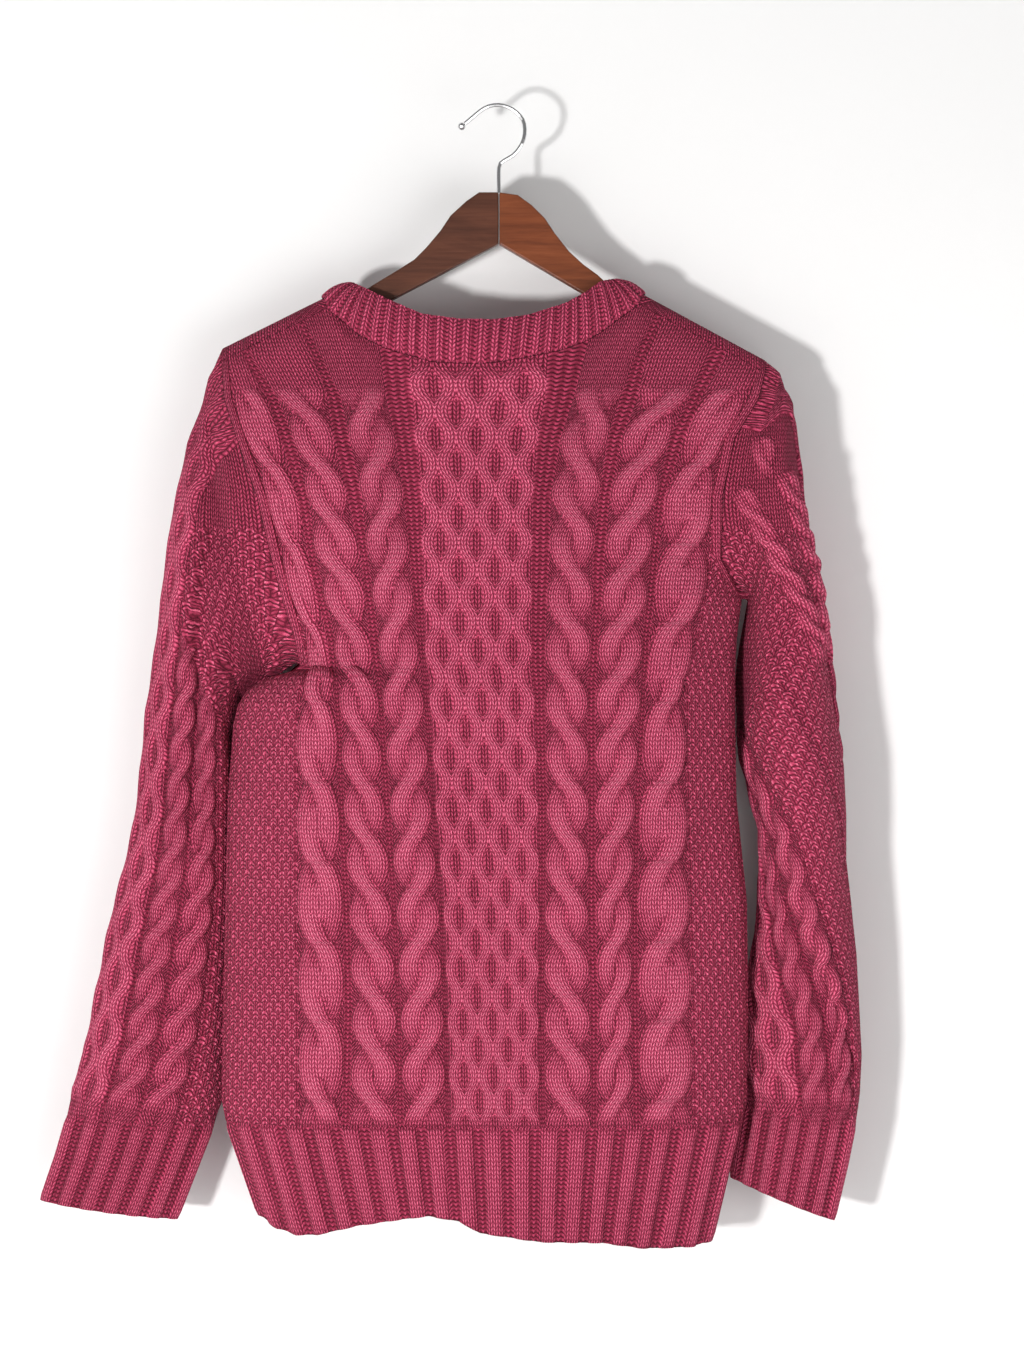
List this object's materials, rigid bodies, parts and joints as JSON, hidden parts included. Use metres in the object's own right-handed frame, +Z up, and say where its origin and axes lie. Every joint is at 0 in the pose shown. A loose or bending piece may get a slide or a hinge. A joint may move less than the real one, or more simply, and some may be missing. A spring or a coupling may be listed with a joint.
{
  "type": "cable-knit sweater on a wooden hanger",
  "caption": "Rose cable-knit crew-neck sweater with long sleeves and ribbed neck, cuffs and hem, hanging on a flat wooden hanger with a wire hook.",
  "frame": {"origin": "inner top of the hanger's hook, where it rests on the rod or screw that holds it", "axes": "+Z up, -Y out of the front of the sweater, +X towards the wearer's left arm"},
  "size_m": [0.637, 0.1141, 0.8843],
  "materials": {
    "rose_yarn": "soft knitted yarn",
    "brown_wood": "satin varnish",
    "chestnut_wood": "satin varnish",
    "chrome": "polished"
  },
  "bodies": {
    "root": {"front_panel": "rose_yarn", "back_panel": "rose_yarn", "collar": "rose_yarn", "sleeve_left": "rose_yarn", "sleeve_right": "rose_yarn", "hanger_left": "brown_wood", "hanger_right": "chestnut_wood", "hanger_hook": "chrome", "hook_tip": "chrome"}
  },
  "joints": []
}
